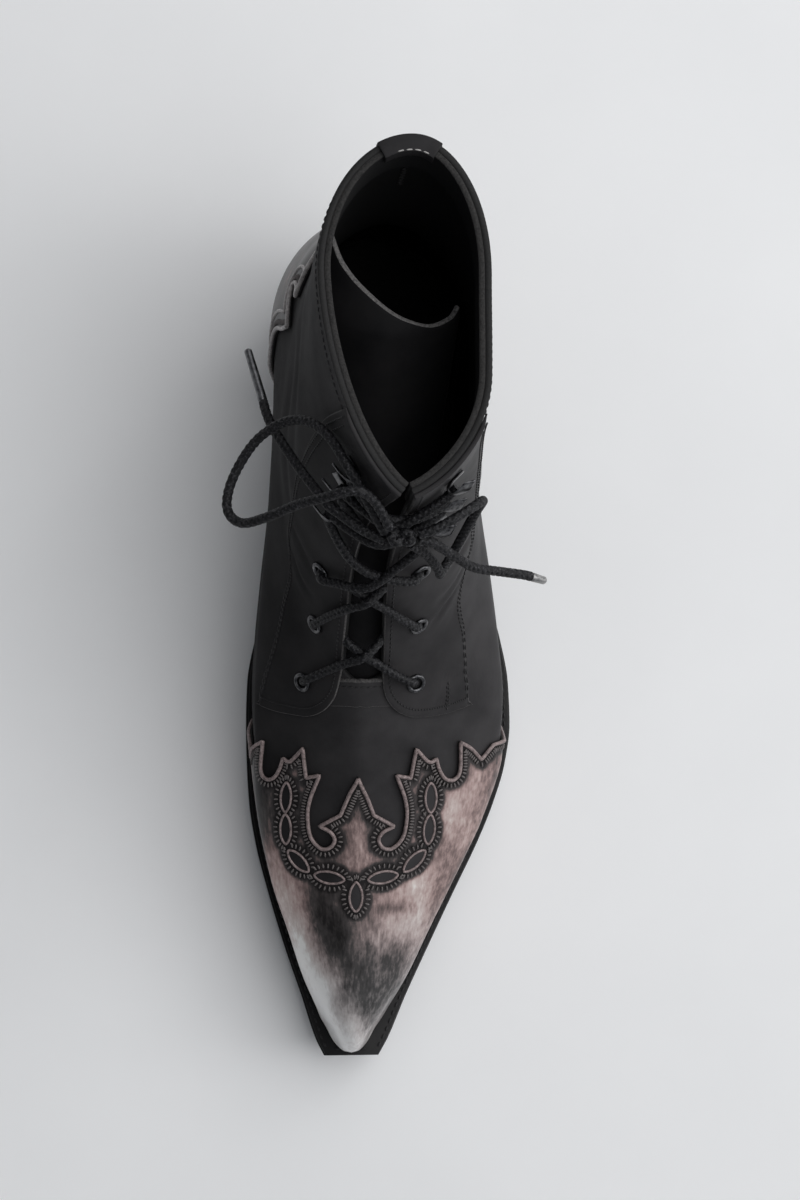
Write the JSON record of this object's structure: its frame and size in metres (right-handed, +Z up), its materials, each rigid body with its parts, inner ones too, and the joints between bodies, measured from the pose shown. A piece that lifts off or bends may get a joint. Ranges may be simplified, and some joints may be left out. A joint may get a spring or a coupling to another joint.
{
  "type": "lace-up western boot",
  "caption": "Left lace-up western ankle boot: hollow black leather upper, pointed welted sole, underslung heel, worn flame-edged toe cap, laced front with a tied bow.",
  "frame": {"origin": "on the floor, under the middle of the boot's bounding box without the loose bow", "axes": "+X to the wearer's lateral (outer) side, -Y to the toe, +Z up from the floor"},
  "size_m": [0.107, 0.3074, 0.1901],
  "materials": {
    "black_leather": "satin",
    "worn_leather": "distressed satin",
    "sole_leather": "satin",
    "heel_leather": "satin",
    "rubber": "matte",
    "insole_board": "matte",
    "gunmetal": "polished",
    "waxed_cord": "matte"
  },
  "bodies": {
    "root": {"upper": "black_leather", "tongue": "black_leather", "facing_medial": "black_leather", "facing_lateral": "black_leather", "back_tab": "black_leather", "toe_cap": "worn_leather", "heel_counter": "worn_leather", "outsole": "sole_leather", "welt": "sole_leather", "heel_stack": "heel_leather", "heel_lift": "rubber", "insole": "insole_board", "eyelet_medial_low": "gunmetal", "eyelet_medial_mid": "gunmetal", "eyelet_medial_top": "gunmetal", "eyelet_lateral_low": "gunmetal", "eyelet_lateral_mid": "gunmetal", "eyelet_lateral_top": "gunmetal", "hook_medial_low": "gunmetal", "hook_medial_mid": "gunmetal", "hook_medial_top": "gunmetal", "hook_lateral_low": "gunmetal", "hook_lateral_mid": "gunmetal", "hook_lateral_top": "gunmetal", "aglet_medial": "gunmetal", "aglet_lateral": "gunmetal", "lace_crossing_low": "waxed_cord", "lace_crossing_mid": "waxed_cord", "lace_crossing_top": "waxed_cord", "lace_crossing_hooks_low": "waxed_cord", "lace_crossing_hooks_mid": "waxed_cord", "lace_knot": "waxed_cord", "lace_loop_medial": "waxed_cord", "lace_loop_lateral": "waxed_cord", "lace_end_medial": "waxed_cord", "lace_end_lateral": "waxed_cord"}
  },
  "joints": []
}
